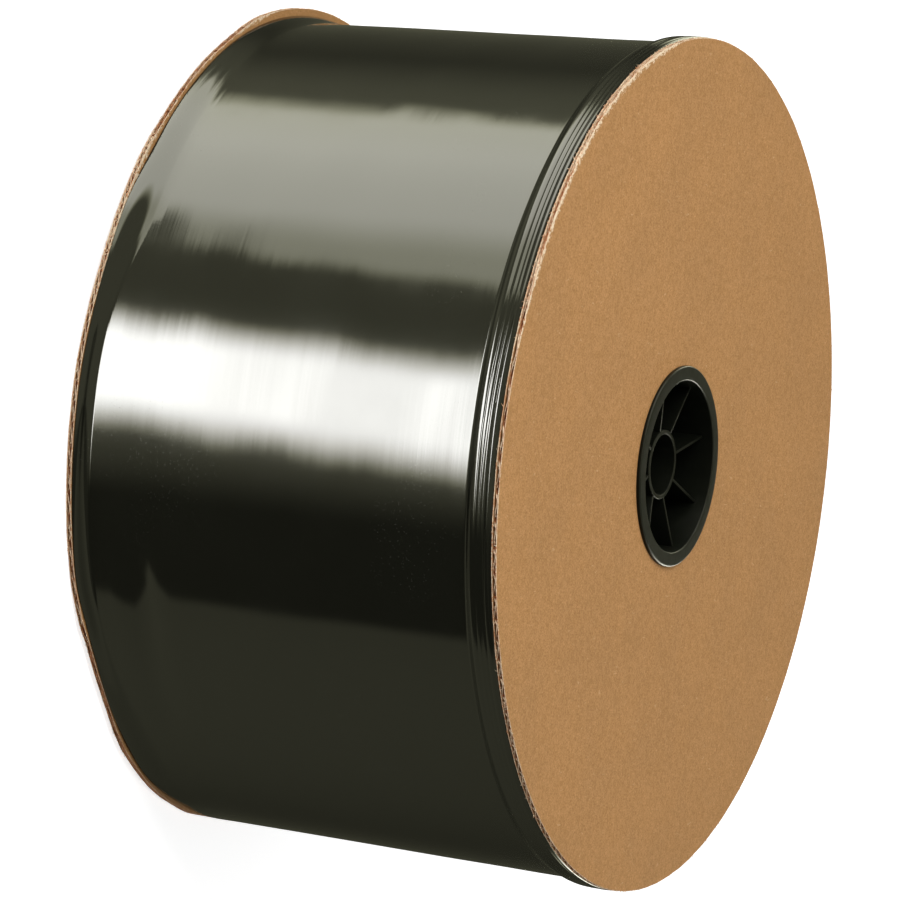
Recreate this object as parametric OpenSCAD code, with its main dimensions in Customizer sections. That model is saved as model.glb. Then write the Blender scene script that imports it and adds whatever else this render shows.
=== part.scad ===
// Roll of black lay-flat poly tubing, standing on its end with +Z along the core.
// The tubing is wound on a board core, a corrugated disc guards each end of the
// winding, and a moulded plug in each end of the core holds its disc on.
// The origin is the middle of the lower plug's lip, on the surface it stands on.

/* [Winding] */
// Length of the winding along the core, the lay-flat width of the tubing
film_w = 184.2; // [150:0.1:300]
// Diameter of the winding half way along the core
film_d = 347.2; // [300:0.1:352]
// How much wider the winding is at its upper end than at its lower end
film_taper = 3.6; // [0:0.1:6]
// Width of the raised band that the folded tubing edges build at the lower end
low_band_w = 11; // [6:0.5:30]
// Height of that band over the winding
low_band_h = 3.5; // [0.5:0.1:6]
// Width of the raised band at the upper end
high_band_w = 13; // [8:0.5:30]
// Height of that band over the winding
high_band_h = 2.6; // [0.5:0.1:4]
// Gap before each folded edge of the last turns, counted from the rounding at the upper disc
fold_gaps = [0.3, 0.6, 0.7, 1.9]; // [0.1:0.1:5]
// Height that each folded edge stands up
fold_h = 0.6; // [0.2:0.05:1]
// Width of one folded edge
fold_w = 1.2; // [0.6:0.1:1.6]
// Rounding of the winding where it meets a disc
film_edge_r = 1; // [0.5:0.1:2]
// Thickness of the two plies of the last turn, seen where it ends
tail_t = 0.3; // [0.2:0.05:0.8]
// Direction round the roll in which the last turn ends
tail_angle = 62; // [0:1:359]

/* [End discs] */
// How far the corrugated discs stand out past the winding half way along the core
disc_overhang = 4.2; // [3.5:0.1:30]
// Thickness of the corrugated board
board_t = 2.2; // [1.8:0.1:4]
// Thickness of each flat liner of the board
liner_t = 0.36; // [0.2:0.01:0.5]
// Thickness of the fluted sheet between the liners
medium_t = 0.26; // [0.15:0.01:0.4]
// Distance from one flute to the next
flute_pitch = 7.25; // [5:0.05:9]
// Width of the glue line where a flute's tip meets its liner
glue_w = 0.9; // [0.5:0.1:1.5]
// Direction of the flutes in the upper disc
high_flute_angle = -32; // [-180:1:180]
// Direction of the flutes in the lower disc
low_flute_angle = 60; // [-180:1:180]
// Depth to which the lower disc's rim is crushed on the side that the roll has lain on
crush_h = 4.6; // [0:0.1:8]
// How much flatter the crushed stretch is than the rim, as extra radius
crush_flatness = 5; // [1:1:60]

/* [Core] */
// Inside diameter of the board core
core_inner_d = 76.2; // [70:0.1:80]
// Wall of the board core
core_wall = 6.4; // [4:0.1:12]

/* [Plugs] */
// Diameter of the lip that holds the disc
lip_d = 84; // [82:0.1:110]
// Thickness of the lip
lip_t = 1.8; // [1.2:0.1:4]
// Rounding of the lip's outer edge
lip_round = 0.8; // [0.3:0.1:1]
// Radial gap between the plug's barrel and the core
plug_gap = 0.15; // [0.05:0.05:0.5]
// Radial gap between the plug's barrel and the disc's hole
hole_gap = 0.4; // [0.2:0.1:1.5]
// Wall of the barrel
barrel_wall = 2; // [1.5:0.1:3]
// Depth of the barrel below the disc's outer face
barrel_depth = 32; // [20:0.5:60]
// Lead-in chamfer at the barrel's inner end
lead_in = 1.2; // [0.5:0.1:1.4]
// Bore for the winder's bar
bore_d = 25.4; // [15:0.1:30]
// Wall of the boss round the bore
boss_wall = 1.9; // [1.4:0.1:4]
// How far the boss lies below the disc's outer face
boss_sink = 6; // [2:0.5:12]
// Length of the boss
boss_len = 24; // [10:0.5:40]
// How far the ribs lie below the disc's outer face where they meet the barrel
rib_sink = 3; // [1:0.5:8]
// Thickness of a rib
rib_t = 1.3; // [0.9:0.1:2.5]
// Number of ribs
rib_count = 8; // [4:1:12]
// Direction of the first rib
rib_angle = 22; // [0:1:44]
// Rounding of the boss's rim
boss_round = 0.5; // [0.2:0.1:0.6]

/* [Hidden] */
$fn = 96;

// Heights, from the surface up
disc_low_z = lip_t;
film_low_z = disc_low_z + board_t;
film_high_z = film_low_z + film_w;
disc_high_z = film_high_z + board_t;

// Diameter of the discs, and radii
disc_d = film_d + 2 * disc_overhang;
crush_r = disc_d / 2 + crush_flatness;
core_r = core_inner_d / 2 + core_wall;
barrel_r = core_inner_d / 2 - plug_gap;
opening_r = barrel_r - barrel_wall;
disc_hole_r = barrel_r + hole_gap;
boss_r = bore_d / 2 + boss_wall;

// Steps of a smooth curve in the winding's outline
band_steps = 10;
fold_steps = 5;
round_steps = 3;
// Straight stretches in the arch of a flute
flute_steps = 6;
// Extra length that lets one solid cut or enter another cleanly
spare = 0.5;

// Sum of the first items of a list
function sum_to(list, i) = i < 0 ? 0 : list[i] + sum_to(list, i - 1);

// Distance of each folded edge's middle from the rounding at the upper disc
fold_at = [for (i = [0:len(fold_gaps) - 1]) sum_to(fold_gaps, i) + fold_w * (i + 0.5)];

// Radius of the bare winding at a height over its lower end
function wound_r(s) = film_d / 2 + film_taper * (s / film_w - 0.5);

// Height of a raised end band at a distance from its disc
function band(s, width, height) = s >= width ? 0 : height * (1 + cos(180 * s / width)) / 2;

// Radius of the winding with both raised bands
function film_r(s) =
    wound_r(s) + band(s, low_band_w, low_band_h) + band(film_w - s, high_band_w, high_band_h);

// Outline of one folded edge, from below it to above it
function fold_points(at, lift) = [
    for (i = [0:fold_steps])
        let (x = i / fold_steps - 0.5, s = film_w - film_edge_r - at + x * fold_w)
        [film_r(s) + lift + fold_h * cos(180 * x), film_low_z + s]
];

// Rounded corner of the winding beside the lower disc, or beside the upper one
function film_corner(upper, lift) = [
    for (i = [0:round_steps])
        let (a = 90 * (upper ? round_steps - i : i) / round_steps,
             inset = film_edge_r * (1 - cos(a)),
             s = upper ? film_w - inset : inset)
        [film_r(s) + lift - film_edge_r * (1 - sin(a)), film_low_z + s]
];

// Half section of the winding from its axis; lift raises its outside
module film_section(lift) {
    low_curve = [
        for (i = [1:band_steps])
            let (s = film_edge_r + (low_band_w - film_edge_r) * i / band_steps)
            [film_r(s) + lift, film_low_z + s]
    ];
    high_end = film_edge_r + max(fold_at) + fold_w;
    high_start = max(high_band_w, high_end + spare);
    high_curve = [
        for (i = [0:band_steps - 1])
            let (s = film_w - high_start + (high_start - high_end) * i / band_steps)
            [film_r(s) + lift, film_low_z + s]
    ];
    folds = [for (i = [len(fold_at) - 1:-1:0]) each fold_points(fold_at[i], lift)];
    polygon(concat(
        [[0, film_low_z]],
        film_corner(false, lift), low_curve, high_curve, folds, film_corner(true, lift),
        [[0, film_high_z]]
    ));
}

// All the turns of tubing. The second half turn grows by one turn's thickness,
// so that the winding closes with a single step where the last turn ends.
module tubing_roll() {
    color("#1b1c16") rotate([0, 0, tail_angle]) difference() {
        union() {
            rotate_extrude(angle = 180) film_section(0);
            translate([tail_t / 2, 0, 0]) rotate([0, 0, 180])
                rotate_extrude(angle = 180) film_section(tail_t / 2);
        }
        translate([0, 0, film_low_z - spare]) cylinder(r = core_r, h = film_w + 2 * spare);
    }
}

// Board core that the tubing is wound on
module core_tube() {
    color("#a98458") translate([0, 0, film_low_z]) difference() {
        cylinder(r = core_r, h = film_w);
        translate([0, 0, -spare]) cylinder(d = core_inner_d, h = film_w + 2 * spare);
    }
}

// Section of the hollow under one arch of the fluted sheet, standing on the liner
module flute_hollow() {
    reach = flute_pitch / 2 - glue_w / 2;
    swing = board_t / 2 - liner_t - medium_t / 2;
    polygon([
        for (i = [flute_steps:-1:0])
            let (x = reach * (2 * i / flute_steps - 1))
            [x, board_t / 2 - medium_t / 2 + swing * cos(180 * x / reach)]
    ]);
}

// Corrugated disc with its flutes running at an angle
module board_disc(flute_angle) {
    flutes = ceil(disc_d / flute_pitch / 2);
    difference() {
        cylinder(d = disc_d, h = board_t);
        translate([0, 0, -spare]) cylinder(r = disc_hole_r, h = board_t + 2 * spare);
        rotate([90, 0, flute_angle + 90]) linear_extrude(disc_d + 2 * spare, center = true) {
            for (i = [-flutes:flutes]) {
                translate([i * flute_pitch, 0]) flute_hollow();
                translate([(i + 0.5) * flute_pitch, board_t]) mirror([0, 1]) flute_hollow();
            }
        }
    }
}

// Lower disc, with its crushed stretch of rim
module lower_disc() {
    color("#b98a5c") translate([0, 0, disc_low_z]) intersection() {
        board_disc(low_flute_angle);
        translate([disc_d / 2 - crush_h - crush_r, 0, -spare])
            cylinder(r = crush_r, h = board_t + 2 * spare);
    }
}

module upper_disc() {
    color("#b98a5c") translate([0, 0, film_high_z]) board_disc(high_flute_angle);
}

// Half section of the plug's lip and barrel, with the disc's outer face at height 0
module plug_section() {
    outer_edge = [
        for (i = [0:round_steps])
            let (a = 90 * i / round_steps)
            [lip_d / 2 - lip_round * (1 - cos(a)), lip_t - lip_round * (1 - sin(a))]
    ];
    inner_edge = [
        for (i = [0:round_steps])
            let (a = 90 + 90 * i / round_steps)
            [opening_r + boss_round * (1 + cos(a)), lip_t - boss_round * (1 - sin(a))]
    ];
    polygon(concat(
        [[barrel_r, 0], [lip_d / 2, 0]],
        outer_edge, inner_edge,
        [
            [opening_r, -barrel_depth],
            [barrel_r - lead_in, -barrel_depth],
            [barrel_r, -barrel_depth + 3 * lead_in]
        ]
    ));
}

// Half section of the boss round the bore
module boss_section() {
    bottom = -boss_sink - boss_len;
    polygon([
        [bore_d / 2, bottom],
        [boss_r - boss_round, bottom],
        [boss_r, bottom + boss_round],
        [boss_r, -boss_sink - boss_round],
        [boss_r - boss_round, -boss_sink],
        [bore_d / 2, -boss_sink]
    ]);
}

// One rib, from the boss out to the barrel
module plug_rib() {
    root = bore_d / 2 + boss_wall / 2;
    tip = opening_r + barrel_wall / 2;
    foot = -boss_sink - boss_len + 2 * boss_round;
    rotate([90, 0, 0]) linear_extrude(rib_t, center = true) polygon([
        [root, foot],
        [tip, max(foot, -barrel_depth + 2 * boss_round)],
        [tip, -rib_sink],
        [root, -boss_sink - boss_round]
    ]);
}

// Moulded plug: lip, barrel, boss and ribs in one piece
module core_plug() {
    rotate_extrude() plug_section();
    rotate_extrude() boss_section();
    for (i = [0:rib_count - 1]) rotate([0, 0, rib_angle + i * 360 / rib_count]) plug_rib();
}

module lower_plug() {
    color("#22231e") translate([0, 0, disc_low_z]) mirror([0, 0, 1]) core_plug();
}

module upper_plug() {
    color("#22231e") translate([0, 0, disc_high_z]) core_plug();
}

tubing_roll();
core_tube();
lower_disc();
upper_disc();
lower_plug();
upper_plug();
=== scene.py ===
"""A roll of black lay-flat poly tubing on a board core, between two corrugated discs.

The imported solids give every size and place. Each operator dresses one piece, or one
group of like pieces, and the last one lays the floor, the lamps and the camera."""

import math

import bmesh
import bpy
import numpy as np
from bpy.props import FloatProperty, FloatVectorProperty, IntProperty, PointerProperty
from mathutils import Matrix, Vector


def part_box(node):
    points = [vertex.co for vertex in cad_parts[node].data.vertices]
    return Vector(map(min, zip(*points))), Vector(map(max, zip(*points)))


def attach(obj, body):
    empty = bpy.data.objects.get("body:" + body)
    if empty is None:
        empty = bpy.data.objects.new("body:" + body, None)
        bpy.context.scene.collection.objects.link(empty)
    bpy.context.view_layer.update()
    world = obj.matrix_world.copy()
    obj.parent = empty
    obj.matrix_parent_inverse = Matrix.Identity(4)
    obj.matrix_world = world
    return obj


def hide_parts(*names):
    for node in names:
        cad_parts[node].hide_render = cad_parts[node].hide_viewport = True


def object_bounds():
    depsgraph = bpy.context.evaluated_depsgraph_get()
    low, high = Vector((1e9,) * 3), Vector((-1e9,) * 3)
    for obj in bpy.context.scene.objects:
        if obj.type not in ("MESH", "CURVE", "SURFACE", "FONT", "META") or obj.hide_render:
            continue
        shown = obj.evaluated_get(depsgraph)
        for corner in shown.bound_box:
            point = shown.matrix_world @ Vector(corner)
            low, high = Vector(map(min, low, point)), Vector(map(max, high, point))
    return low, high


bl_info = {
    "name": "Poly Tubing Roll",
    "version": (1, 0, 0),
    "blender": (4, 5, 0),
    "location": "View3D > Sidebar > Tubing Roll",
    "description": "Dresses a roll of lay-flat poly tubing with its board discs and core plugs",
    "category": "Object",
}

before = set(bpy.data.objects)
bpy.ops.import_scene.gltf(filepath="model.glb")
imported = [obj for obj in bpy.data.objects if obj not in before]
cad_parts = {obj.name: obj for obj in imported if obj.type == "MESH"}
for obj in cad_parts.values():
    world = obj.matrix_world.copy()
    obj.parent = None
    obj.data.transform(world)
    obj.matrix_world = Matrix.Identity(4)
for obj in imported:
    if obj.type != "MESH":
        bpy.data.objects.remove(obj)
CAD_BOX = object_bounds()

MM = 0.001

# Heights and radii that the solids give
FILM_LOW, FILM_HIGH = (corner.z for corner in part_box("tubing_roll"))
LOWER_DISC, UPPER_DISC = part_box("lower_disc"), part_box("upper_disc")
BOARD = UPPER_DISC[1].z - UPPER_DISC[0].z
DISC_R = UPPER_DISC[1].x
CORE_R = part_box("core_tube")[1].x
LIP_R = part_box("upper_plug")[1].x
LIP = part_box("upper_plug")[1].z - UPPER_DISC[1].z
PLUG_DEPTH = UPPER_DISC[1].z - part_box("upper_plug")[0].z


def length_mm(name, description, default):
    """A length that is given in millimetres."""
    return FloatProperty(name=name, description=description, default=default * MM, unit="LENGTH")


def angle_deg(name, description, default):
    """An angle that is given in degrees."""
    return FloatProperty(
        name=name, description=description, default=math.radians(default), subtype="ANGLE")


def factor(name, description, default):
    return FloatProperty(
        name=name, description=description, default=default, min=0, max=1, subtype="FACTOR")


def paint(name, description, default):
    return FloatVectorProperty(
        name=name, description=description, default=default, subtype="COLOR", size=3, min=0, max=1)


class WindingSettings(bpy.types.PropertyGroup):
    middle: length_mm("Diameter", "Diameter of the winding half way along the core", 347.2)
    taper: length_mm("Taper", "How much wider the winding is at its upper end", 3.6)
    low_band_w: length_mm("Lower Band Width", "Width of the raised band beside the lower disc", 13)
    low_band_h: length_mm(
        "Lower Band Height", "Height of the raised band beside the lower disc", 3)
    flare: length_mm("Flare", "How much higher that band stands on the facing side", 2.9)
    high_band_w: length_mm(
        "Upper Band Width", "Width of the raised band beside the upper disc", 12.9)
    high_slope_w: length_mm(
        "Upper Slope Width", "Width of that band's slope down to the winding", 3.6)
    high_band_h: length_mm(
        "Upper Band Height", "Height of the raised band beside the upper disc", 2.3)
    wave: length_mm("Waviness", "Height of the soft waves in the wound film", 0.16)
    crease: length_mm("Crease", "Depth of the crease near the lower disc", 1.6)
    tail_angle: angle_deg("Tail Direction", "Direction in which the last turn ends", 62)
    tail_t: length_mm("Tail Thickness", "Step where the last turn ends", 0.3)
    columns: IntProperty(
        name="Columns", description="Faces round the winding", default=640, min=96)
    colour: paint("Film", "Colour of the black film", (0.0042, 0.0044, 0.0031))
    gloss_roughness: factor("Roughness", "Roughness of the film's gloss", 0.075)


class DiscSettings(bpy.types.PropertyGroup):
    liner: length_mm("Liner", "Thickness of each flat liner", 0.36)
    medium: length_mm("Fluted Sheet", "Thickness of the fluted sheet", 0.26)
    pitch: length_mm("Flute Pitch", "Distance from one flute to the next", 7.25)
    lean: length_mm("Flute Lean", "How far the crushed flutes lean over", 1.1)
    high_direction: angle_deg("Upper Flutes", "Direction of the flutes in the upper disc", -32)
    low_direction: angle_deg("Lower Flutes", "Direction of the flutes in the lower disc", 60)
    hole: length_mm("Hole Radius", "Radius of the hole for the plug", 38.35)
    ragged: length_mm("Ragged Rim", "How unevenly the rim was cut", 0.35)
    fibres: IntProperty(
        name="Torn Fibres", description="Fibres that stand out all round a rim", default=900,
        min=1)
    tufts: IntProperty(
        name="Torn Tufts", description="Further fibres on the rim's high side", default=420,
        min=1)
    crush: length_mm("Crushed Rim", "Depth of the crushed stretch of the lower rim", 4.6)
    crush_flatness: length_mm(
        "Crush Flatness", "How much wider than the rim the crushed curve is", 5)
    worn: length_mm("Worn Rim", "How far the lower rim is worn back or dented", 1.5)
    sag: length_mm("Sag", "How far the facing side of the lower disc bulges outwards", 1.4)
    kraft: paint("Kraft", "Colour of the kraft liners", (0.455, 0.236, 0.088))
    fibre: paint("Fibre", "Colour of the torn fibres on the rim", (0.92, 0.76, 0.54))
    fluting: paint("Fluting", "Colour of the fluted sheet", (0.44, 0.19, 0.085))


class PlugSettings(bpy.types.PropertyGroup):
    barrel: length_mm("Barrel Radius", "Outer radius of the barrel", 37.95)
    wall: length_mm("Barrel Wall", "Wall of the barrel", 2)
    bore: length_mm("Bore Radius", "Radius of the bore for the bar", 12.7)
    boss_wall: length_mm("Boss Wall", "Wall of the boss", 1.9)
    boss_sink: length_mm("Boss Sink", "How far the boss lies under the disc's face", 6)
    boss_len: length_mm("Boss Length", "Length of the boss", 24)
    rib_sink: length_mm("Rib Sink", "How far the ribs lie under the disc's face at the barrel", 3)
    rib_t: length_mm("Rib", "Thickness of a rib", 1.3)
    rib_count: IntProperty(name="Ribs", description="Number of ribs", default=8, min=3)
    rib_angle: angle_deg("First Rib", "Direction of the first rib", 22)
    colour: paint("Plastic", "Colour of the moulded plastic", (0.0036, 0.0041, 0.0029))
    roughness: factor("Satin", "Roughness of the moulded plastic", 0.36)


class StudioSettings(bpy.types.PropertyGroup):
    focal: FloatProperty(
        name="Focal Length", description="Focal length on a 36 mm frame, in millimetres",
        default=210.35, min=1)
    distance: FloatProperty(
        name="Camera Distance", description="From the camera to the middle of the roll",
        default=2.2236, unit="LENGTH")
    elevation: FloatProperty(
        name="Camera Elevation", description="Height of the camera over the horizon",
        default=0.4252, subtype="ANGLE")
    roll: FloatProperty(
        name="Camera Roll", description="Turn of the camera past a quarter turn",
        default=0.1097, subtype="ANGLE")
    right: FloatProperty(
        name="Right", description="How far right of the picture's middle the roll sits, in pixels",
        default=20.5)
    up: FloatProperty(
        name="Up", description="How far over the picture's middle the roll sits, in pixels",
        default=6.3)
    key: FloatProperty(
        name="Key Lamp", description="Power of the key lamp", default=19, min=0, unit="POWER")
    fill: FloatProperty(
        name="Fill", description="Strength of the soft light from all round",
        default=0.28, min=0)
    glow: FloatProperty(
        name="Floor Glow", description="Light that keeps the floor white to the camera",
        default=0.75, min=0)


class Graph:
    """Adds nodes to a node tree, and links or sets what is passed for their inputs."""

    def __init__(self, tree):
        self.tree = tree

    def add(self, kind, inputs=None, **settings):
        node = self.tree.nodes.new(kind)
        for name, value in settings.items():
            setattr(node, name, value)
        for key, value in (inputs or {}).items():
            self.feed(node.inputs[key], value)
        return node

    def feed(self, socket, value):
        if isinstance(value, bpy.types.NodeSocket):
            self.tree.links.new(value, socket)
        else:
            socket.default_value = value

    def math(self, operation, *values):
        node = self.add("ShaderNodeMath", dict(enumerate(values)), operation=operation)
        return node.outputs[0]

    def vector_math(self, operation, *values):
        node = self.add("ShaderNodeVectorMath", dict(enumerate(values)), operation=operation)
        return node.outputs["Vector"]

    def smooth(self, value, start, end, low=0.0, high=1.0):
        node = self.add(
            "ShaderNodeMapRange",
            {"Value": value, "From Min": start, "From Max": end, "To Min": low, "To Max": high},
            interpolation_type="SMOOTHSTEP")
        return node.outputs["Result"]

    def scaled(self, vector, scale, turn=(0, 0, 0)):
        """The vector turned, then stretched by a scale along each axis."""
        node = self.add("ShaderNodeMapping", {"Vector": vector, "Scale": scale, "Rotation": turn})
        return node.outputs["Vector"]

    def place(self):
        return self.add("ShaderNodeTexCoord").outputs["Object"]

    def vector(self, x=0.0, y=0.0, z=0.0):
        return self.add("ShaderNodeCombineXYZ", {0: x, 1: y, 2: z}).outputs[0]

    def split(self, vector):
        return self.add("ShaderNodeSeparateXYZ", {0: vector}).outputs

    def length(self, vector):
        return self.add("ShaderNodeVectorMath", {0: vector}, operation="LENGTH").outputs["Value"]

    def times(self, vector, scale):
        node = self.add("ShaderNodeVectorMath", {0: vector, "Scale": scale}, operation="SCALE")
        return node.outputs["Vector"]

    def noise(self, vector, scale, detail=2.0, roughness=0.5, distortion=0.0):
        node = self.add("ShaderNodeTexNoise", {
            "Vector": vector, "Scale": scale, "Detail": detail, "Roughness": roughness,
            "Distortion": distortion})
        return node.outputs["Fac"]

    def colours(self, factor, first, second, blend="MIX"):
        node = self.add("ShaderNodeMix", data_type="RGBA", blend_type=blend)
        self.feed(node.inputs[0], factor)
        for socket, value in zip((node.inputs[6], node.inputs[7]), (first, second)):
            self.feed(socket, value if isinstance(value, bpy.types.NodeSocket) else rgba(value))
        return node.outputs[2]

    def bump(self, height, distance, strength=1.0, normal=None):
        node = self.add("ShaderNodeBump", {
            "Height": height, "Distance": distance, "Strength": strength})
        if normal is not None:
            self.feed(node.inputs["Normal"], normal)
        return node.outputs["Normal"]


def rgba(colour):
    return (*colour[:3], 1.0)


def tint(colour, share):
    """A colour made lighter or darker by a share."""
    return tuple(min(1.0, channel * share) for channel in colour[:3])


def new_material(name):
    """An empty node material, its graph and its principled shader."""
    material = bpy.data.materials.new(name)
    material.use_nodes = True
    graph = Graph(material.node_tree)
    shader = material.node_tree.nodes["Principled BSDF"]
    return material, graph, shader


def dress(g, shader, colour, roughness, normal, specular=None, ior=None):
    """Feeds the inputs of a principled shader; those left out keep their default."""
    inputs = {"Base Color": colour, "Roughness": roughness, "Normal": normal,
              "Specular IOR Level": specular, "IOR": ior}
    for name, value in inputs.items():
        if value is not None:
            g.feed(shader.inputs[name], value)


def black_film(settings):
    """Glossy black polyethylene: fine draw lines round the roll, faint haze and dust."""
    material, g, shader = new_material("black film")
    place = g.place()
    lines = g.noise(g.scaled(place, (5, 5, 420)), 1.0, 3.0, 0.6)
    broad = g.noise(g.scaled(place, (5, 5, 58)), 1.0, 2.0, 0.5)
    haze = g.noise(place, 34.0, 4.0, 0.6)
    specks = g.add("ShaderNodeTexVoronoi", {"Vector": place, "Scale": 720.0},
                   feature="F1").outputs["Distance"]
    clumps = g.smooth(g.noise(place, 21.0, 2.0), 0.52, 0.68)
    dust = g.math("MULTIPLY", g.smooth(specks, 0.15, 0.06), g.math("MULTIPLY", clumps, 0.6))
    film = g.colours(haze, tint(settings.colour, 0.8), tint(settings.colour, 1.35))
    base = settings.gloss_roughness
    rough = g.smooth(haze, 0.3, 0.75, base * 0.85, base * 1.3)
    wound = g.bump(lines, 0.012 * MM, 0.5, g.bump(broad, 0.08 * MM, 0.6))
    dress(g, shader, g.colours(dust, film, (0.10, 0.10, 0.085)),
          g.math("ADD", rough, g.math("MULTIPLY", dust, 0.3)), wound, ior=1.5)
    return material


def fibre_and_highlight_share(g, place):
    """How much pale rim colour shows at a point: a ragged ring of torn fibre all round the rim, widest
    on the high side, where the key lamp falls, as a painted highlight.
    """
    split = g.split(place)
    radius = g.length(g.vector(split[0], split[1]))
    turn = g.math("MULTIPLY", g.math("ARCTAN2", split[1], split[0]), math.degrees(1))
    # Painted highlight: the pale ring is 2.4 mm wider on the upper left, where the key lamp falls
    lit_side_highlight = g.math("MULTIPLY", g.smooth(turn, -168, -158), g.smooth(turn, -112, -100, 1.0, 0.0))
    tufts = g.noise(place, 520.0, 4.0, 0.75, 1.2)
    width = g.math("MULTIPLY_ADD", lit_side_highlight, 2.4 * MM, 0.3 * MM)
    reach = g.math("MULTIPLY", g.smooth(tufts, 0.36, 0.66), width)
    depth = g.math("SUBTRACT", DISC_R, radius)
    return g.smooth(g.math("SUBTRACT", depth, reach), -0.1 * MM, 0.25 * MM, 0.9, 0.0)


def kraft_face(settings):
    """Kraft liner: faint blotches, a close mottle, short pale fibres and a few dark ones."""
    material, g, shader = new_material("kraft liner")
    place = g.place()
    blotch = g.noise(place, 30.0, 4.0, 0.55)
    mottle = g.noise(place, 480.0, 4.0, 0.7)
    grain = g.noise(place, 1250.0, 3.0, 0.7)
    flecks = g.noise(g.scaled(place, (700, 210, 500), (0, 0, 0.5)), 1.0, 2.0, 0.6, 0.8)
    colour = g.colours(
        g.smooth(blotch, 0.3, 0.7), tint(settings.kraft, 0.96), tint(settings.kraft, 1.04))
    for texture, dark, light in (
        (mottle, (0.89, 0.87, 0.80), (1.10, 1.12, 1.20)),
        (grain, (0.80, 0.78, 0.70), (1.18, 1.21, 1.32)),
    ):
        shade = g.colours(g.smooth(texture, 0.3, 0.7), dark, light)
        colour = g.colours(1.0, colour, shade, "MULTIPLY")
    pale = g.math("MULTIPLY", g.smooth(flecks, 0.66, 0.76), 0.4)
    colour = g.colours(pale, colour, (0.70, 0.49, 0.28))
    dark = g.math("MULTIPLY", g.smooth(flecks, 0.32, 0.22), 0.25)
    colour = g.colours(dark, colour, tint(settings.kraft, 0.5))
    # Pale rim colour: torn fibre all round, and a painted highlight on the lit upper left
    colour = g.colours(fibre_and_highlight_share(g, place), colour, settings.fibre)
    relief = g.bump(grain, 0.03 * MM, 0.6, g.bump(mottle, 0.04 * MM, 0.6))
    dress(g, shader, colour, g.smooth(blotch, 0.2, 0.8, 0.72, 0.84), relief, specular=0.3)
    return material


def torn_edge(settings):
    """Cut edge of the board: torn fibres, pale where they stand up, partly their own pale colour and
    partly a painted highlight.
    """
    material, g, shader = new_material("cut board edge")
    place = g.place()
    tufts = g.noise(place, 900.0, 3.0, 0.7, 0.8)
    patch = g.noise(place, 60.0, 2.0)
    # Pale tufts: partly the torn fibres' own colour, partly a painted highlight where they catch the
    # light
    pale = g.math("MULTIPLY", g.smooth(tufts, 0.36, 0.58), g.smooth(patch, 0.3, 0.6, 0.55, 1.0))
    colour = g.colours(pale, tint(settings.fluting, 1.3), settings.fibre)
    dress(g, shader, colour, 0.9, g.bump(tufts, 0.12 * MM), specular=0.2)
    return material


def fluted_paper(settings):
    """Semi-chemical fluting paper, redder and duller than the liners."""
    material, g, shader = new_material("fluting paper")
    place = g.place()
    fibres = g.noise(place, 700.0, 3.0, 0.6)
    paper = g.colours(
        g.smooth(fibres, 0.3, 0.7), tint(settings.fluting, 0.8), tint(settings.fluting, 1.2))
    # Pale tips at the rim: partly torn fibre colour, partly a painted highlight
    radius = g.length(g.vector_math("MULTIPLY", place, (1, 1, 0)))
    edge = g.math("MULTIPLY", g.smooth(radius, DISC_R - 1.1 * MM, DISC_R - 0.4 * MM),
                  g.smooth(fibres, 0.35, 0.6, 0.35, 0.85))
    dress(g, shader, g.colours(edge, paper, settings.fibre), 0.85,
          g.bump(fibres, 0.03 * MM), specular=0.25)
    return material


def core_board(settings):
    """Spiral-wound core board, with the butt joint of its outer ply."""
    material, g, shader = new_material("core board")
    place = g.place()
    split = g.split(place)
    turn = g.math("ARCTAN2", split["Y"], split["X"])
    ply_climb = 0.09
    climb = g.math("MULTIPLY_ADD", split["Z"], math.tau / ply_climb, turn)
    ply = g.math("ABSOLUTE", g.math("SINE", g.math("MULTIPLY", climb, 0.5)))
    joint = g.smooth(ply, 0.035, 0.01)
    fibres = g.noise(g.scaled(place, (500, 500, 1100)), 1.0, 3.0, 0.6)
    paper = g.colours(g.smooth(fibres, 0.3, 0.7), tint(settings.kraft, 0.72),
                      tint(settings.kraft, 0.95))
    relief = g.bump(g.math("SUBTRACT", fibres, joint), 0.05 * MM)
    dress(g, shader, g.colours(joint, paper, tint(settings.kraft, 0.35)), 0.8, relief,
          specular=0.3)
    return material


def satin_plastic(settings):
    """Moulded polystyrene: satin black with a fine mould grain and a few scuffs."""
    material, g, shader = new_material("satin plastic")
    place = g.place()
    cloud = g.noise(place, 120.0, 3.0, 0.6)
    grain = g.noise(place, 1900.0, 2.0, 0.6)
    scuff = g.smooth(g.noise(g.scaled(place, (60, 900, 60), (0, 0, 0.7)), 1.0, 2.0), 0.62, 0.74)
    colour = g.colours(cloud, tint(settings.colour, 0.85), tint(settings.colour, 1.25))
    colour = g.colours(g.math("MULTIPLY", scuff, 0.3), colour, tint(settings.colour, 3.0))
    satin = g.smooth(cloud, 0.3, 0.7, settings.roughness * 0.9, settings.roughness * 1.15)
    # Painted shade: faces that stand sideways, such as the plug's inner walls, get less gloss, so the
    # recess looks darker
    facing = g.math("ABSOLUTE", g.split(g.add("ShaderNodeNewGeometry").outputs["Normal"])["Z"])
    dress(g, shader, colour, g.math("MULTIPLY_ADD", scuff, 0.1, satin),
          g.bump(grain, 0.006 * MM, 0.6), specular=g.smooth(facing, 0.2, 0.8, 0.14, 0.5), ior=1.53)
    return material


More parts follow.
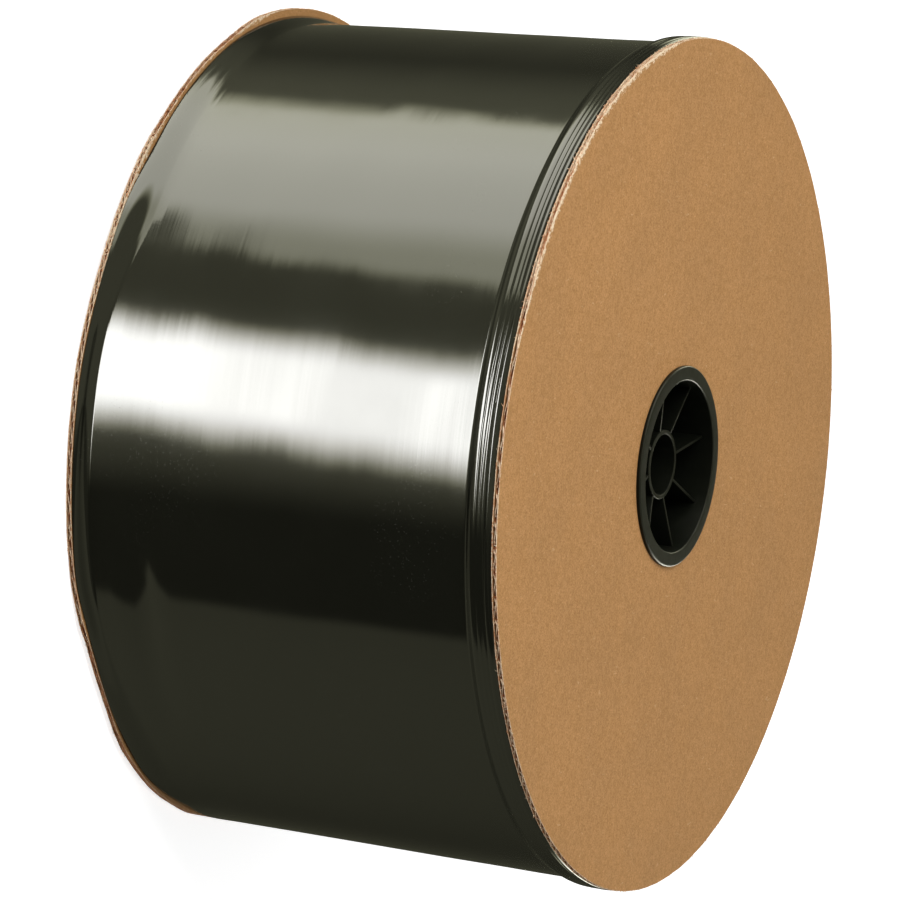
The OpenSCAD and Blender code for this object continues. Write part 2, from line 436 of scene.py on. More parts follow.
def mesh_piece(name, points, faces, materials, face_material=None, smooth=True):
    """A mesh object in the scene from points and faces."""
    mesh = bpy.data.meshes.new(name)
    mesh.from_pydata([tuple(p) for p in points], [], [tuple(f) for f in faces])
    for material in materials:
        mesh.materials.append(material)
    if face_material is not None:
        mesh.polygons.foreach_set("material_index", np.asarray(face_material, np.int32))
    mesh.polygons.foreach_set("use_smooth", np.full(len(mesh.polygons), smooth))
    mesh.update()
    piece = bpy.data.objects.new(name, mesh)
    bpy.context.scene.collection.objects.link(piece)
    return piece


def loop_grid(rows, columns):
    """Quads of a grid that closes on itself both ways."""
    i, j = np.meshgrid(np.arange(columns), np.arange(rows), indexing="ij")
    i2, j2 = (i + 1) % columns, (j + 1) % rows
    quads = np.stack([i * rows + j, i2 * rows + j, i2 * rows + j2, i * rows + j2], -1)
    return quads.reshape(-1, 4)


def revolved(profile, steps):
    """Points and quads of a closed profile of (radius, height) turned round the Z axis."""
    profile = np.asarray(profile, float)
    turn = np.linspace(0, math.tau, steps, endpoint=False)
    points = np.empty((steps, len(profile), 3))
    points[..., 0] = np.cos(turn)[:, None] * profile[:, 0]
    points[..., 1] = np.sin(turn)[:, None] * profile[:, 0]
    points[..., 2] = profile[:, 1]
    return points.reshape(-1, 3), loop_grid(len(profile), steps)


def outward(piece):
    """Points the faces of closed shells outwards."""
    shell = bmesh.new()
    shell.from_mesh(piece.data)
    bmesh.ops.recalc_face_normals(shell, faces=shell.faces)
    shell.to_mesh(piece.data)
    shell.free()
    return piece


def sharp_by_angle(piece, degrees):
    """Keeps edges over an angle sharp in a smooth shaded mesh."""
    piece.data.set_sharp_from_angle(angle=math.radians(degrees))


def joined(name, pieces):
    """One mesh object from several, with their material slots merged."""
    mesh = bpy.data.meshes.new(name)
    whole = bmesh.new()
    slots = []
    for piece in pieces:
        offset = []
        for material in piece.data.materials:
            if material not in slots:
                slots.append(material)
            offset.append(slots.index(material))
        start = len(whole.faces)
        whole.from_mesh(piece.data)
        whole.faces.ensure_lookup_table()
        for face in whole.faces[start:]:
            face.material_index = offset[face.material_index]
    whole.to_mesh(mesh)
    whole.free()
    for material in slots:
        mesh.materials.append(material)
    for piece in pieces:
        bpy.data.objects.remove(piece)
    result = bpy.data.objects.new(name, mesh)
    bpy.context.scene.collection.objects.link(result)
    return result


def new_tree(name, inputs):
    """A Geometry Nodes tree with named inputs: its graph, its input node and its output node."""
    tree = bpy.data.node_groups.new(name, "GeometryNodeTree")
    for label, kind in inputs.items():
        tree.interface.new_socket(label, in_out="INPUT", socket_type=kind)
    tree.interface.new_socket("Geometry", in_out="OUTPUT", socket_type="NodeSocketGeometry")
    g = Graph(tree)
    return g, g.add("NodeGroupInput").outputs, g.add("NodeGroupOutput")


def ended(g, out, geometry, material):
    """Ends a Geometry Nodes tree: its copies made real, and their material set."""
    real = g.add("GeometryNodeRealizeInstances", {"Geometry": geometry}).outputs[0]
    dressed = g.add("GeometryNodeSetMaterial", {"Geometry": real, "Material": material})
    g.feed(out.inputs[0], dressed.outputs[0])
    return g.tree


def applied(piece, modifier):
    """The piece with the mesh that its modifier makes, and without the modifier."""
    bpy.context.view_layer.update()
    evaluated = piece.evaluated_get(bpy.context.evaluated_depsgraph_get())
    mesh = bpy.data.meshes.new_from_object(evaluated)
    piece.modifiers.remove(modifier)
    piece.data = mesh
    return piece


def grown(name, tree, values):
    """Runs a Geometry Nodes tree with these input values and keeps its plain mesh."""
    carrier = bpy.data.objects.new(name, bpy.data.meshes.new(name))
    bpy.context.scene.collection.objects.link(carrier)
    modifier = carrier.modifiers.new(name, "NODES")
    modifier.node_group = tree
    for item in tree.interface.items_tree:
        if item.in_out == "INPUT":
            modifier[item.identifier] = values[item.name]
    return applied(carrier, modifier)


def solidified(piece, thickness):
    """Gives an open sheet its thickness, half to each side, and closes its rims."""
    modifier = piece.modifiers.new("thickness", "SOLIDIFY")
    modifier.thickness = thickness
    modifier.offset = 0
    modifier.use_rim = True
    return applied(piece, modifier)


def hand_over(piece, slot, *nodes):
    """Fixes a finished piece to the frame and hides the solids that it stands for; its slot is not
    used.
    """
    if nodes:
        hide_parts(*nodes)
    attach(piece, "root")


def ease(x):
    """A smooth rise from 0 to 1."""
    x = np.clip(x, 0, 1)
    return x * x * (3 - 2 * x)


def ripple(seed, turn, along, waves):
    """A sum of soft waves over direction and height, from -1 to 1; whole counts close the ring."""
    random = np.random.default_rng(seed)
    total = np.zeros(np.broadcast(turn, along).shape)
    weight = 0.0
    for count, length, share in waves:
        phase = random.uniform(0, math.tau, 2)
        slant = random.uniform(-0.6, 0.6)
        swing = np.cos(count * turn + slant * along / (10 * MM) + phase[0])
        total += share * swing * np.cos(math.tau * along / length + phase[1])
        weight += share
    return total / weight


def lobe(turn, start, full, fall, end):
    """1 between two directions, in degrees, and softly down to 0 on both sides of them."""
    degrees = np.degrees(turn)
    return ease((degrees - start) / (full - start)) * (1 - ease((degrees - fall) / (end - fall)))


def sagged(settings, turn, radius):
    """How far the lower disc, and the film that rests on it, hang out along the core."""
    bulge = lobe(turn, -112, -92, -67, -58)
    return settings.sag * bulge * ease((radius - 0.10) / (DISC_R - 0.10))


# The folded edges of the last turns beside the upper disc: distance from the disc,
# width, height, and how much farther the edge lies on the facing side, in millimetres
FOLDS = ((1.4, 2.0, 0.50, 1.0), (3.4, 2.0, 0.50, 0.8), (5.4, 2.0, 0.50, 0.7), (7.9, 2.9, 0.40, 0.2))

# The crease near the lower disc: distance from the disc and half width in millimetres,
# and the direction in degrees where it starts to fall
CREASE = (25.0, 6.0, -76.0)


def winding_radius(settings, turn, up):
    """Radius of the winding at a direction and a height over its lower end."""
    width = FILM_HIGH - FILM_LOW
    down = width - up
    radius = settings.middle / 2 + settings.taper * (up / width - 0.5)
    low_w = settings.low_band_w * (1 - 0.65 * lobe(turn, -122, -98, -60, -35))
    flat = 1 - 0.97 * lobe(turn, -32, -14, 30, 55)
    low_h = settings.low_band_h * flat + settings.flare * lobe(turn, -130, -114, -66, -50)
    radius = radius + low_h * (1 - ease(up / low_w))
    place, half, start = CREASE
    across = np.exp(-((up / MM - place) / half) ** 2)
    after = np.degrees(turn) - start
    radius = radius - settings.crease * across * ease(after / 10) * (1 - ease((after - 10) / 35))
    slope_w = settings.high_slope_w * (1 + 0.8 * lobe(turn, -60, 0, 60, 100))
    beyond = down - (settings.high_band_w - settings.high_slope_w)
    radius = radius + settings.high_band_h * (1 - ease(beyond / slope_w))
    drift = ease((np.degrees(turn) + 115) / 25)
    faint = 1 - 0.6 * lobe(turn, -78, -60, 20, 60)
    for number, (place, fold_w, fold_h, farther) in enumerate(FOLDS):
        wander = 0.18 * ripple(20 + number, turn, 0 * up, ((1, 1, 1), (3, 1, 0.6), (7, 1, 0.3)))
        x = (down / MM - place - farther * drift - wander) / (fold_w / 2)
        radius = radius + fold_h * MM * faint * np.sqrt(np.clip(1 - x * x, 0, 1))
    middle = ease(up / (14 * MM)) * ease(down / (20 * MM))
    soft = ripple(7, turn, up, ((5, 0.09, 1.0), (7, 0.06, 0.8), (11, 0.045, 0.5), (3, 0.2, 0.9)))
    radius = radius + settings.wave * soft * middle
    since = ((turn - settings.tail_angle) % math.tau) / math.tau
    return radius + settings.tail_t * (since - 0.5)


# Radii of the rings of faces on the ends of the winding and on the discs
FACE_RINGS = (0.10, 0.13, 0.165)


def winding_heights():
    """Heights of the rings of faces, close together where the folded edges are."""
    width = FILM_HIGH - FILM_LOW
    low = np.linspace(0.0, 0.012, 22)
    middle = np.linspace(0.012, width - 0.016, 36)[1:]
    high = np.linspace(width - 0.016, width, 60)[1:]
    return np.concatenate([low, middle, high])


class TUBING_OT_winding(bpy.types.Operator):
    """Winds the black film, with its folded edges, soft waves and loose tail"""

    bl_idname = "tubing_roll.winding"
    bl_label = "Wind the Film"

    def execute(self, context):
        settings = context.scene.tubing_winding
        settings_disc = context.scene.tubing_disc
        turn = np.linspace(-math.pi, math.pi, settings.columns, endpoint=False)
        step = settings.tail_angle
        turn = np.sort(np.append(turn, (step - 2e-4, step + 2e-4)))[:, None]
        up = winding_heights()[None, :]
        width = FILM_HIGH - FILM_LOW
        radius = winding_radius(settings, turn, up)
        rounding = 0.9 * MM
        for edge in (up, width - up):
            inside = np.clip(1 - edge / rounding, 0, 1)
            radius = radius - rounding * (1 - np.sqrt(1 - inside * inside))
        reach = min(CAD_BOX[1].x, CAD_BOX[1].y, -CAD_BOX[0].x, -CAD_BOX[0].y)
        radius = np.minimum(radius, reach - 0.02 * MM)
        height = FILM_LOW + up - sagged(settings_disc, turn, radius) * (1 - ease(up / (12 * MM)))
        faces_low = np.broadcast_to((CORE_R, *FACE_RINGS), (len(turn), 1 + len(FACE_RINGS)))
        faces_high = faces_low[:, ::-1]
        radius = np.concatenate([faces_low, radius, faces_high], axis=1)
        height = np.concatenate([
            FILM_LOW - sagged(settings_disc, turn, faces_low), height,
            np.full(faces_high.shape, FILM_HIGH)
        ], axis=1)
        points = np.stack([np.cos(turn) * radius, np.sin(turn) * radius, height], -1)
        quads = loop_grid(radius.shape[1], len(turn))
        piece = mesh_piece(
            "tubing_winding", points.reshape(-1, 3), quads, [black_film(settings)])
        outward(piece)
        sharp_by_angle(piece, 50)
        hand_over(piece, "film", "tubing_roll")
        return {"FINISHED"}


def fluted_tree(material):
    """Fluted sheet of a disc: a grid bent into flutes and fitted between the hole and the rim."""
    g, given, out = new_tree("fluted sheet", {
        "Rim": "NodeSocketFloat", "Hole": "NodeSocketFloat", "Pitch": "NodeSocketFloat",
        "Swing": "NodeSocketFloat", "Lean": "NodeSocketFloat", "Direction": "NodeSocketFloat",
        "Ragged": "NodeSocketFloat", "Height": "NodeSocketFloat"})
    grid = g.add("GeometryNodeMeshGrid", {
        "Size X": 2.0, "Size Y": 1.0, "Vertices X": 500, "Vertices Y": 12})
    place = g.add("GeometryNodeInputPosition").outputs[0]
    split = g.split(place)
    across = g.math("MULTIPLY", split[0], given["Rim"])
    share = g.math("ADD", split[1], 0.5)
    square = g.math("MULTIPLY", across, across)

    def chord(radius):
        room = g.math("SUBTRACT", g.math("MULTIPLY", radius, radius), square)
        return g.math("SQRT", g.math("MAXIMUM", room, 0.0))

    start, end = chord(given["Hole"]), chord(given["Rim"])
    along = g.math("MULTIPLY_ADD", share, g.math("SUBTRACT", end, start), start)
    phase = g.math("DIVIDE", g.math("MULTIPLY", across, math.tau), given["Pitch"])
    rise = g.math("COSINE", phase)
    shift = g.math("MULTIPLY_ADD", rise, given["Lean"], across)
    wave = g.math("MULTIPLY", rise, given["Swing"])

    def bent(y):
        return g.add("GeometryNodeSetPosition", {
            "Geometry": grid.outputs["Mesh"], "Position": g.vector(shift, y, wave)}).outputs[0]

    other = bent(g.math("MULTIPLY", along, -1.0))
    both = g.add("GeometryNodeJoinGeometry")
    g.feed(both.inputs[0], bent(along))
    g.feed(both.inputs[0], g.add("GeometryNodeFlipFaces", {"Mesh": other}).outputs[0])
    whole = g.add("GeometryNodeMergeByDistance", {
        "Geometry": both.outputs[0], "Distance": 0.02 * MM}).outputs[0]
    frayed = g.noise(place, 600.0, 2.0, 0.6)
    near = g.smooth(g.length(place), 0.165, 0.176)
    amount = g.math("MULTIPLY", g.math("MULTIPLY", g.math("SUBTRACT", frayed, 0.62), near),
                    given["Ragged"])
    outwards = g.vector_math("NORMALIZE", g.vector_math("MULTIPLY", place, (1, 1, 0)))
    outward_by = g.times(outwards, g.math("MULTIPLY", amount, 2.0))
    ragged = g.add("GeometryNodeSetPosition", {"Geometry": whole, "Offset": outward_by}).outputs[0]
    placed = g.add("GeometryNodeTransform", {
        "Geometry": ragged, "Translation": g.vector(z=given["Height"]),
        "Rotation": g.vector(z=given["Direction"])}).outputs[0]
    return ended(g, out, placed, material)


def fibre_tree(material):
    """Torn fibres along a rim: slivers scattered between two directions, lying along the rim."""
    g, given, out = new_tree("torn fibres", {
        "Rim": "NodeSocketFloat", "Count": "NodeSocketInt", "From": "NodeSocketFloat",
        "To": "NodeSocketFloat", "Thickness": "NodeSocketFloat", "Length": "NodeSocketFloat",
        "Height": "NodeSocketFloat", "Seed": "NodeSocketInt"})

    def chance(low, high, number):
        seed = g.math("ADD", given["Seed"], float(number))
        return g.add("FunctionNodeRandomValue", {2: low, 3: high, "Seed": seed}).outputs[1]

    turn = chance(given["From"], given["To"], 1)
    half = g.math("MULTIPLY", given["Thickness"], 0.46)
    lift = g.math("ADD", given["Height"], chance(g.math("MULTIPLY", half, -1.0), half, 2))
    radius = g.math("SUBTRACT", given["Rim"], chance(0.0, 0.5 * MM, 3))
    outwards = g.vector(g.math("COSINE", turn), g.math("SINE", turn))
    spot = g.vector_math("ADD", g.times(outwards, radius), g.vector(z=lift))
    points = g.add("GeometryNodePoints", {"Count": given["Count"], "Position": spot})
    sliver = g.add("GeometryNodeMeshCone", {
        "Vertices": 3, "Radius Top": 0.03, "Radius Bottom": 0.13, "Depth": 1.0})
    along = g.vector(g.math("MULTIPLY", g.math("SINE", turn), -1.0), g.math("COSINE", turn))
    side = g.times(along, chance(-1.0, 1.0, 4))
    out_a_little = g.times(outwards, chance(0.05, 0.35, 5))
    tilt = g.vector(z=chance(-0.4, 0.4, 6))
    lie = g.vector_math("ADD", g.vector_math("ADD", side, out_a_little), tilt)
    rotation = g.add("FunctionNodeAlignRotationToVector", {"Vector": lie}, axis="Z").outputs[0]
    size = g.math("MULTIPLY", given["Length"], chance(0.4, 1.3, 7))
    copies = g.add("GeometryNodeInstanceOnPoints", {
        "Points": points.outputs[0], "Instance": sliver.outputs["Mesh"], "Rotation": rotation,
        "Scale": size})
    return ended(g, out, copies.outputs[0], material)


def liner_sheet(name, settings, low, seed, cut, materials):
    """A flat liner with a slightly ragged rim; cut gives the rim's radius by direction."""
    steps = 900
    turn = np.linspace(-math.pi, math.pi, steps, endpoint=False)
    random = np.random.default_rng(seed)
    nicks = np.convolve(random.uniform(-1, 0.4, steps + 4), np.ones(5) / 5, "valid")
    rim = cut(turn) + settings.ragged * nicks[:steps]
    soft = 0.08 * MM
    high = low + settings.liner
    face = [settings.hole + 0 * turn] + [ring + 0 * turn for ring in FACE_RINGS]
    rings = [(radius, low) for radius in face]
    rings += [(rim - soft, low), (rim, low + soft), (rim, high - soft), (rim - soft, high)]
    rings += [(radius, high) for radius in reversed(face)]
    points = np.stack([
        np.stack([np.cos(turn) * radius, np.sin(turn) * radius, np.full(steps, height)], -1)
        for radius, height in rings], axis=1)
    quads = loop_grid(len(rings), steps)
    edge_rings = (4, 5, 6)
    which = np.isin(np.tile(np.arange(len(rings)), steps), edge_rings).astype(int)
    piece = mesh_piece(name, points.reshape(-1, 3), quads, materials, which, smooth=False)
    return outward(piece)


class TUBING_OT_board_discs(bpy.types.Operator):
    """Lays up both corrugated discs: two liners each, with the fluted sheet between them"""

    bl_idname = "tubing_roll.board_discs"
    bl_label = "Lay Up the Discs"

    def execute(self, context):
        settings = context.scene.tubing_disc
        kraft, edge = kraft_face(settings), torn_edge(settings)
        tree = fluted_tree(fluted_paper(settings))
        fibres = fibre_tree(edge)
        swing = BOARD / 2 - settings.liner - settings.medium / 2

        def whole_rim(turn):
            return np.full(len(turn), DISC_R)

        def crushed_rim(turn):
            curve = DISC_R + settings.crush_flatness
            middle = -(settings.crush_flatness + settings.crush)
            bitten = middle * np.cos(turn) + np.sqrt(curve ** 2 - (middle * np.sin(turn)) ** 2)
            dents = lobe(turn, -162, -152, -134, -124) + lobe(turn, -60, -55, -48, -40)
            dents = dents + lobe(turn, -16, -7, 7, 16) - 0.8 * lobe(turn, -44, -36, -27, -16)
            return np.minimum(DISC_R, np.minimum(DISC_R, bitten) - settings.worn * dents)

        for name, low, direction, cut, seed in (
            ("upper", UPPER_DISC[0].z, settings.high_direction, whole_rim, 11),
            ("lower", LOWER_DISC[0].z, settings.low_direction, crushed_rim, 31),
        ):
            # Before it is turned, the sheet's flutes run along Y
            flutes = grown(name + "_flutes", tree, {
                "Rim": DISC_R - 0.15 * MM, "Hole": settings.hole, "Pitch": settings.pitch,
                "Swing": swing, "Lean": settings.lean, "Direction": direction - math.pi / 2,
                "Ragged": settings.ragged, "Height": low + BOARD / 2})
            trim(flutes, cut)
            solidified(flutes, settings.medium)
            sheets = [
                flutes,
                liner_sheet(name + "_inner", settings, low, seed, cut, [kraft, edge]),
                liner_sheet(name + "_outer", settings, low + BOARD - settings.liner, seed + 1,
                            cut, [kraft, edge]),
            ]
            for label, count, start, end in (
                ("thin", settings.fibres, -180, 180), ("thick", settings.tufts, -164, -108),
            ):
                strands = grown(name + "_" + label, fibres, {
                    "Rim": DISC_R, "Count": count, "From": math.radians(start),
                    "To": math.radians(end), "Thickness": BOARD, "Length": 1.3 * MM,
                    "Height": low + BOARD / 2, "Seed": seed})
                trim(strands, lambda turn: cut(turn) + 0.35 * MM)
                sheets.append(strands)
            disc = joined(name + "_board_disc", sheets)
            if name == "lower":
                hang(disc, settings)
            hand_over(disc, "disc_board", name + "_disc")
        return {"FINISHED"}


def hang(piece, settings):
    """Lets the facing side of the lower disc bulge outwards."""
    for vertex in piece.data.vertices:
        place = vertex.co
        turn, radius = math.atan2(place.y, place.x), math.hypot(place.x, place.y)
        place.z -= float(sagged(settings, turn, radius))
    piece.data.update()


def trim(piece, cut):
    """Draws in the points of a sheet that lie past a rim."""
    count = len(piece.data.vertices)
    points = np.empty(count * 3, np.float32)
    piece.data.vertices.foreach_get("co", points)
    points = points.reshape(-1, 3)
    radius = np.hypot(points[:, 0], points[:, 1])
    limit = cut(np.arctan2(points[:, 1], points[:, 0]))
    share = np.where(radius > limit, limit / np.maximum(radius, 1e-9), 1.0)
    points[:, :2] *= share[:, None]
    piece.data.vertices.foreach_set("co", points.ravel())
    piece.data.update()


def arc(centre, radius, start, end, steps):
    """Points of an arc in a half section, from one angle in degrees to another."""
    angles = np.radians(np.linspace(start, end, steps + 1))
    return [(centre[0] + radius * math.cos(a), centre[1] + radius * math.sin(a)) for a in angles]


def shell_piece(name, profile, steps, material):
    points, quads = revolved(profile, steps)
    return outward(mesh_piece(name, points, quads, [material]))


def rib_tree(material):
    """Ribs of a plug: one rounded web, repeated round the boss."""
    g, given, out = new_tree("plug ribs", {
        "Web": "NodeSocketObject", "Count": "NodeSocketInt", "First": "NodeSocketFloat"})
    points = g.add("GeometryNodePoints", {"Count": given["Count"], "Position": (0, 0, 0)})
    web = g.add("GeometryNodeObjectInfo", {"Object": given["Web"]}, transform_space="ORIGINAL")
    number = g.add("GeometryNodeInputIndex").outputs[0]
    step = g.math("DIVIDE", math.tau, given["Count"])
    turn = g.vector(z=g.math("MULTIPLY_ADD", number, step, given["First"]))
    copies = g.add("GeometryNodeInstanceOnPoints", {
        "Points": points.outputs[0], "Instance": web.outputs["Geometry"], "Rotation": turn})
    return ended(g, out, copies.outputs[0], material)


def rib_web(settings):
    """One rib with soft edges, in the plug's own frame with the disc's face at height 0."""
    root = settings.bore + settings.boss_wall / 2
    tip = settings.barrel - settings.wall / 2
    foot = -settings.boss_sink - settings.boss_len + 1 * MM
    outline = [
        (root, foot), (tip, foot), (tip, -settings.rib_sink),
        (root, -settings.boss_sink - 0.5 * MM)]
    half = settings.rib_t / 2
    points = [(x, side * half, z) for side in (-1, 1) for x, z in outline]
    faces = [(0, 1, 2, 3), (7, 6, 5, 4)] + [(i, 4 + i, 4 + (i + 1) % 4, (i + 1) % 4) for i in range(4)]
    web = outward(mesh_piece("rib_web", points, faces, []))
    bevel = web.modifiers.new("soft edges", "BEVEL")
    bevel.width, bevel.segments = 0.25 * MM, 2
    return web


class TUBING_OT_core_plugs(bpy.types.Operator):
    """Moulds both core plugs: lip, barrel, boss and ribs"""

    bl_idname = "tubing_roll.core_plugs"
    bl_label = "Mould the Plugs"

    def execute(self, context):
        settings = context.scene.tubing_plug
        plastic = satin_plastic(settings)
        opening = settings.barrel - settings.wall
        boss = settings.bore + settings.boss_wall
        lip = [(settings.barrel, 0.0), (LIP_R - 0.15 * MM, 0.0), (LIP_R, 0.15 * MM)]
        lip += arc((LIP_R - 0.8 * MM, LIP - 0.8 * MM), 0.8 * MM, 0, 90, 5)
        lip += arc((opening + 0.5 * MM, LIP - 0.5 * MM), 0.5 * MM, 90, 180, 4)
        lip += [(opening, -PLUG_DEPTH + 0.4 * MM), (opening + 0.4 * MM, -PLUG_DEPTH),
                (settings.barrel - 1.2 * MM, -PLUG_DEPTH),
                (settings.barrel, -PLUG_DEPTH + 3.6 * MM)]
        high, low = -settings.boss_sink, -settings.boss_sink - settings.boss_len
        soft = 0.5 * MM
        tube = [(settings.bore, low + 0.2 * MM), (settings.bore + 0.2 * MM, low),
                (boss - soft, low), (boss, low + soft)]
        tube += arc((boss - soft, high - soft), soft, 0, 90, 4)
        tube += arc((settings.bore + 0.3 * MM, high - 0.3 * MM), 0.3 * MM, 90, 180, 3)
        web = rib_web(settings)
        tree = rib_tree(plastic)
        for name, face, flip in (("upper", UPPER_DISC[1].z, 1), ("lower", LOWER_DISC[0].z, -1)):
            ribs = grown(name + "_ribs", tree, {
                "Web": web, "Count": settings.rib_count, "First": settings.rib_angle})
            parts = [shell_piece(name + "_lip", lip, 160, plastic),
                     shell_piece(name + "_boss", tube, 96, plastic), ribs]
            plug = joined(name + "_core_plug", parts)
            plug.data.transform(Matrix.Translation((0, 0, face)) @ Matrix.Diagonal((1, 1, flip, 1)))
            if flip < 0:
                plug.data.flip_normals()
            sharp_by_angle(plug, 40)
            hand_over(plug, "plug_plastic", name + "_plug")
        bpy.data.objects.remove(web)
        return {"FINISHED"}


class TUBING_OT_core_tube(bpy.types.Operator):
    """Gives the board core its spiral-wound finish"""

    bl_idname = "tubing_roll.core_tube"
    bl_label = "Finish the Core"

    def execute(self, context):
        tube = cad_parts["core_tube"]
        tube.data.materials.clear()
        tube.data.materials.append(core_board(context.scene.tubing_disc))
        return {"FINISHED"}


def studio_world(settings):
    """Plain soft light all round; gloss sees a dark studio with a few soft boxes in it."""
    world = bpy.data.worlds.new("studio")
    bpy.context.scene.world = world
    world.use_nodes = True
    world.cycles.sampling_method = "NONE"
    g = Graph(world.node_tree)
    world.node_tree.nodes.clear()
    ray = g.add("ShaderNodeTexCoord").outputs["Generated"]
    split = g.split(ray)
    to_degrees = math.degrees(1)
    turned = g.math("ARCTAN2", g.math("MULTIPLY", split[0], -1.0),
                    g.math("MULTIPLY", split[1], -1.0))
    around = g.math("MULTIPLY", turned, to_degrees)
    height = g.math("MULTIPLY", g.math("ARCSINE", split[2]), to_degrees)
    slant = g.math("MULTIPLY_ADD", g.math("ADD", height, 30.4), 1.15, around)

    def window(value, start, end, soft_start, soft_end):
        rise = g.smooth(value, start - soft_start, start + soft_start)
        fall = g.smooth(value, end - soft_end, end + soft_end, 1.0, 0.0)
        return g.math("MULTIPLY", rise, fall)

    def lit(mask, strength, total):
        return g.math("ADD", total, g.math("MULTIPLY", mask, strength))

    # The dim walls: grey low down beside the camera, darker ahead, fading to the back
    low_wall = g.math("MULTIPLY", g.smooth(around, -56.5, -52.5, 0.46, 0.11),
                      g.smooth(around, -150, -60, 0.12, 1.0))
    high_wall = g.math("MULTIPLY", g.smooth(around, -26, -10, 0.0, 0.5),
                       g.smooth(around, 100, 132, 1.0, 0.0))
    gloss = g.math("ADD", low_wall, high_wall)
    gloss = lit(g.smooth(height, 5, 25), 0.08, gloss)
    # The bright strip, with its halo, and the grey sheet above it
    cloth = g.vector(g.math("MULTIPLY", around, 0.035), g.math("MULTIPLY", height, 0.9))
    waver = g.math("SUBTRACT", g.noise(cloth, 1.0, 3.0, 0.55), 0.5)
    slant = g.math("MULTIPLY_ADD", waver, 7.0, slant)
    ahead = window(height, -40, -19, 2.5, 2.5)
    strip = g.math("MULTIPLY", window(slant, -2.3, 23.7, 6.5, 5.5), ahead)
    power = g.math("ADD", g.smooth(height, -30.2, -27.4, 26.0, 18.5),
                   g.smooth(height, -27.1, -26.5, 0.0, 7.0))
    gloss = lit(strip, power, gloss)
    gloss = lit(g.math("MULTIPLY", window(slant, -6, 27, 9, 9), ahead), 0.5, gloss)
    rise = g.math("ADD", g.math("MINIMUM", height, -25.0), 30.1)
    lean = g.math("MULTIPLY_ADD", rise, 2.2, g.math("MULTIPLY_ADD", waver, 9.0, around))
    lean = g.math("ADD", lean, g.smooth(height, -30.3, -29.3, -8.0, 0.0))
    hem = g.math("MULTIPLY_ADD", waver, 26.0, around)
    sheet = g.math("MULTIPLY", g.smooth(lean, 48, 53), g.smooth(hem, 96, 104, 1.0, 0.0))
    sheet = g.math("MULTIPLY", sheet, window(height, -37, 22, 2.5, 6))
    fade = g.math("MULTIPLY", g.smooth(around, 50, 63, 3.7, 6.0),
                  g.smooth(around, 82, 98, 1.0, 0.82))
    gloss = lit(sheet, fade, gloss)
    # Two boxes behind, which the mouldings and the far sides of the roll show
    behind = window(height, -10, 20, 4, 4)
    gloss = lit(g.math("MULTIPLY", window(around, -165, -128, 5, 5), behind), 9.0, gloss)
    gloss = lit(g.math("MULTIPLY", window(around, 140, 160, 5, 5), behind), 4.0, gloss)
    warmth = g.colours(g.smooth(gloss, 0.8, 8.0), (1.0, 1.0, 0.66), (1.0, 0.99, 0.86))
    warmth = g.colours(g.smooth(gloss, 8.0, 20.0), warmth, (1.0, 1.0, 0.96))
    path = g.add("ShaderNodeLightPath").outputs
    plain = g.add("ShaderNodeBackground", {"Color": (1, 1, 1, 1), "Strength": settings.fill})
    white = g.add("ShaderNodeBackground", {"Color": (1, 1, 1, 1), "Strength": 1.0})
    studio = g.add("ShaderNodeBackground", {"Color": warmth, "Strength": gloss})
    soft = g.add("ShaderNodeMixShader", {
        0: path["Is Glossy Ray"], 1: plain.outputs[0], 2: studio.outputs[0]})
    final = g.add("ShaderNodeMixShader", {
        0: path["Is Camera Ray"], 1: soft.outputs[0], 2: white.outputs[0]})
    out = g.add("ShaderNodeOutputWorld")
    g.feed(out.inputs["Surface"], final.outputs[0])


def lamp(name, place, target, size, power):
    """A soft rectangular lamp that no gloss shows."""
    light = bpy.data.lights.new(name, "AREA")
    light.shape, light.size, light.size_y = "RECTANGLE", *size
    light.energy = power
    holder = bpy.data.objects.new(name, light)
    bpy.context.scene.collection.objects.link(holder)
    holder.location = place
    holder.rotation_mode = "QUATERNION"
    holder.rotation_quaternion = (Vector(target) - Vector(place)).to_track_quat("-Z", "Y")
    holder.visible_glossy = False
    return holder


def pale_floor(settings):
    """A wide pale floor that stays white to the camera but for the object's soft shadow."""
    half = 8.0
    floor = mesh_piece(
        "floor", [(-half, -half, 0), (half, -half, 0), (half, half, 0), (-half, half, 0)],
        [(0, 1, 2, 3)], [])
    material, g, shader = new_material("pale floor")
    shader.inputs["Base Color"].default_value = (0.8, 0.8, 0.8, 1)
    shader.inputs["Roughness"].default_value = 1.0
    shader.inputs["Specular IOR Level"].default_value = 0.0
    path = g.add("ShaderNodeLightPath").outputs
    glow = g.add("ShaderNodeEmission", {
        "Color": (1, 1, 1, 1), "Strength": g.math("MULTIPLY", path["Is Camera Ray"], settings.glow)})
    both = g.add("ShaderNodeAddShader", {0: shader.outputs[0], 1: glow.outputs[0]})
    g.feed(material.node_tree.nodes["Material Output"].inputs["Surface"], both.outputs[0])
    floor.data.materials.append(material)
    floor.visible_glossy = False


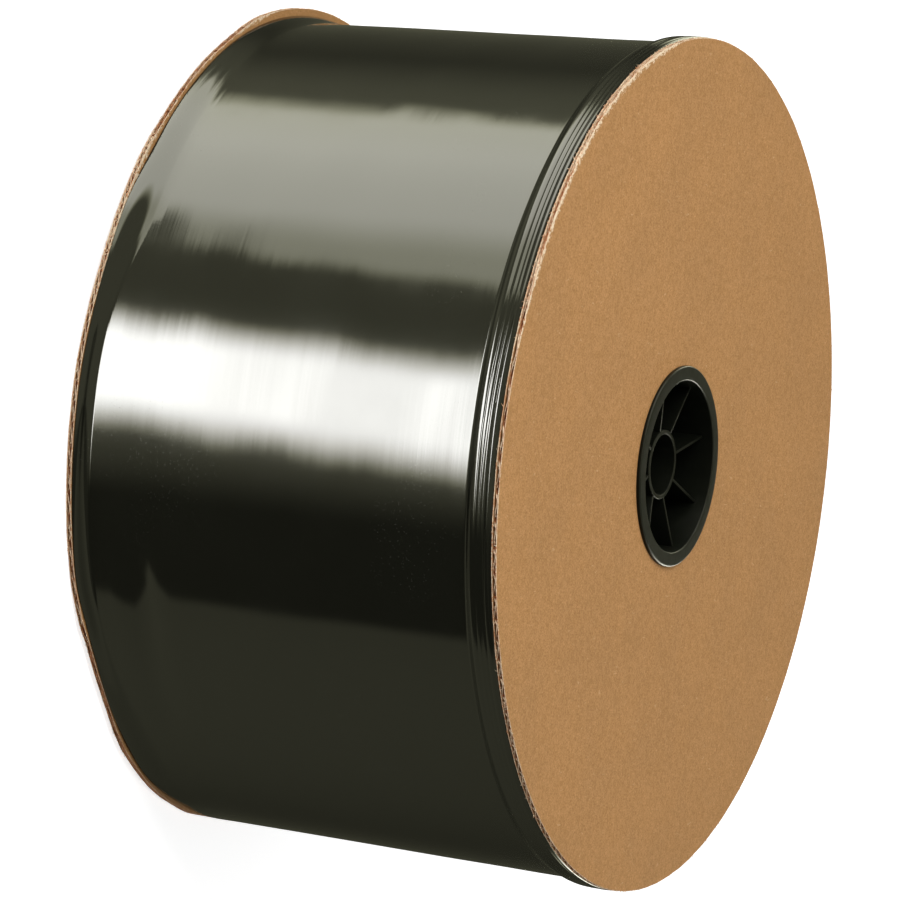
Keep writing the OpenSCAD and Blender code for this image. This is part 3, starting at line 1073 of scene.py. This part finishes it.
def place_camera(settings):
    """The picture's camera: from the winding's side and above, with the core lying across."""
    low, high = CAD_BOX
    middle = (low + high) / 2
    lift, roll = settings.elevation, settings.roll
    forward = Vector((0, math.cos(lift), -math.sin(lift)))
    across = Vector((0, math.sin(lift), math.cos(lift)))
    upward = Vector((-1, 0, 0))
    right = across * math.cos(roll) + upward * math.sin(roll)
    up = upward * math.cos(roll) - across * math.sin(roll)
    spot = middle - forward * settings.distance
    pixel = settings.distance * 36.0 / (settings.focal * 900)
    aim = middle - right * settings.right * pixel - up * settings.up * pixel
    forward = (aim - spot).normalized()
    right = (right - forward * right.dot(forward)).normalized()
    up = right.cross(forward)
    turned = Matrix((right, up, -forward)).transposed().to_4x4()
    data = bpy.data.cameras.new("camera")
    data.sensor_width, data.lens = 36.0, settings.focal
    data.clip_start, data.clip_end = 0.05, 50
    camera = bpy.data.objects.new("camera", data)
    bpy.context.scene.collection.objects.link(camera)
    camera.matrix_world = Matrix.Translation(spot) @ turned
    bpy.context.scene.camera = camera


class TUBING_OT_stage(bpy.types.Operator):
    """Lays the floor, hangs the lamps and sets the camera"""

    bl_idname = "tubing_roll.stage"
    bl_label = "Set the Stage"

    def execute(self, context):
        settings = context.scene.tubing_studio
        context.scene.view_settings.view_transform = "Standard"
        place_camera(settings)
        pale_floor(settings)
        studio_world(settings)
        middle = (0, 0, 0.12)
        lamp("key", (-0.98, -0.98, 1.14), middle, (0.77, 0.77), settings.key)
        lamp("top", (-0.2, 0.3, 2.6), middle, (1.8, 1.8), settings.key * 0.9)
        return {"FINISHED"}


class TUBING_PT_panel(bpy.types.Panel):
    """Sizes, colours and steps of the roll"""

    bl_idname = "TUBING_PT_panel"
    bl_label = "Tubing Roll"
    bl_space_type = "VIEW_3D"
    bl_region_type = "UI"
    bl_category = "Tubing Roll"

    def draw(self, context):
        for operator, group in STEPS:
            box = self.layout.box()
            box.operator(operator.bl_idname)
            values = getattr(context.scene, group)
            for name in values.bl_rna.properties.keys():
                if name not in ("rna_type", "name"):
                    box.prop(values, name)


GROUPS = {
    "tubing_winding": WindingSettings,
    "tubing_disc": DiscSettings,
    "tubing_plug": PlugSettings,
    "tubing_studio": StudioSettings,
}
STEPS = (
    (TUBING_OT_winding, "tubing_winding"),
    (TUBING_OT_board_discs, "tubing_disc"),
    (TUBING_OT_core_tube, "tubing_disc"),
    (TUBING_OT_core_plugs, "tubing_plug"),
    (TUBING_OT_stage, "tubing_studio"),
)
CLASSES = (*GROUPS.values(), *(operator for operator, group in STEPS), TUBING_PT_panel)


def register():
    for entry in CLASSES:
        bpy.utils.register_class(entry)
    for name, group in GROUPS.items():
        setattr(bpy.types.Scene, name, PointerProperty(type=group))


def unregister():
    for name in GROUPS:
        delattr(bpy.types.Scene, name)
    for entry in reversed(CLASSES):
        bpy.utils.unregister_class(entry)


def main():
    register()
    for operator, group in STEPS:
        family, step = operator.bl_idname.split(".")
        getattr(getattr(bpy.ops, family), step)()


if __name__ == "__main__":
    main()
